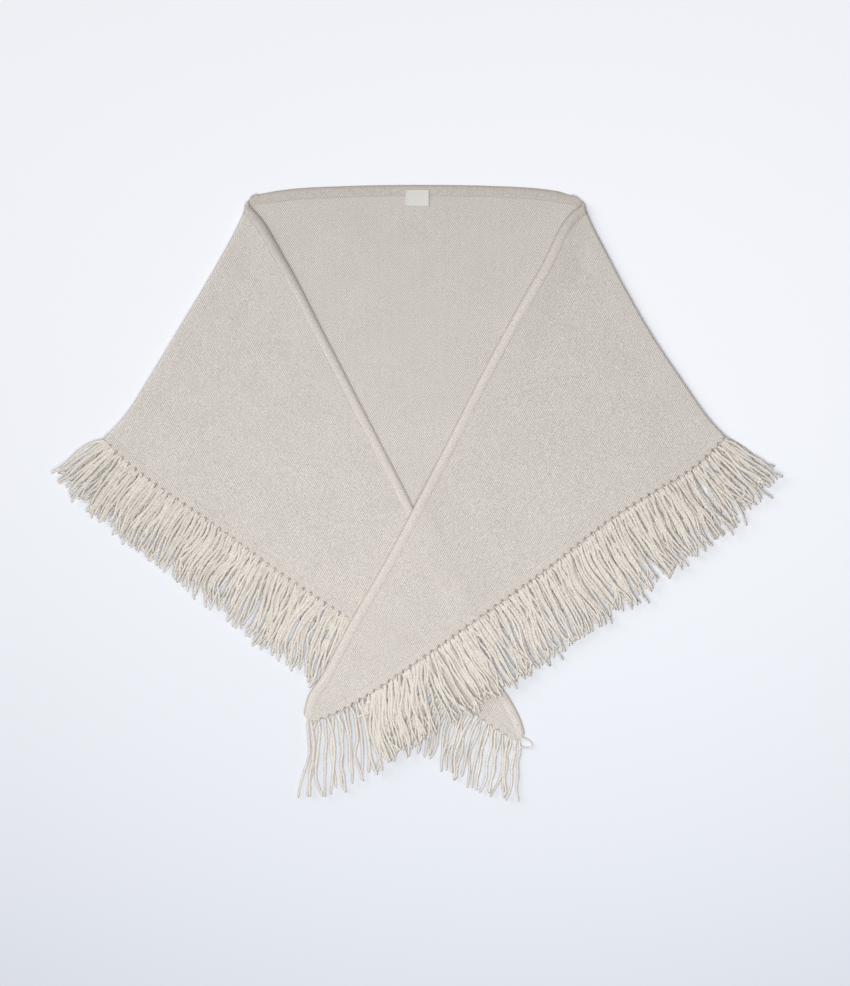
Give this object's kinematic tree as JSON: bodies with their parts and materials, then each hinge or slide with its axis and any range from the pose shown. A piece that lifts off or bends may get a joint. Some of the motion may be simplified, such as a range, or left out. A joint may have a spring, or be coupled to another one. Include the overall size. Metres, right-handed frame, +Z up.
{
  "type": "triangle scarf",
  "caption": "Fine knit triangle scarf with a doubled neck band and hooked fringe, laid flat with its ends folded over the front and crossed.",
  "frame": {"origin": "on the surface that the scarf lies on, under the middle of its box", "axes": "+X to the right across the scarf as seen from above, +Y from the fringe up to the neck, +Z up from the surface"},
  "size_m": [0.7815, 0.6708, 0.0086],
  "materials": {
    "back_knit": "cream fine knit, reverse side, matt with a soft nap",
    "front_knit": "cream fine stocking stitch, matt with a soft nap",
    "band_knit": "doubled cream knit band with fine ribs",
    "label_tape": "plain woven tape, bare",
    "fringe_yarn": "soft twisted cream yarn"
  },
  "bodies": {
    "root": {"back_panel": "back_knit", "back_neck_band": "band_knit", "left_front": "front_knit", "left_front_band": "band_knit", "right_front": "front_knit", "right_front_band": "band_knit", "neck_label": "label_tape", "left_front_fringe": "fringe_yarn", "right_front_fringe": "fringe_yarn", "back_left_fringe": "fringe_yarn", "back_right_fringe": "fringe_yarn"}
  },
  "joints": []
}
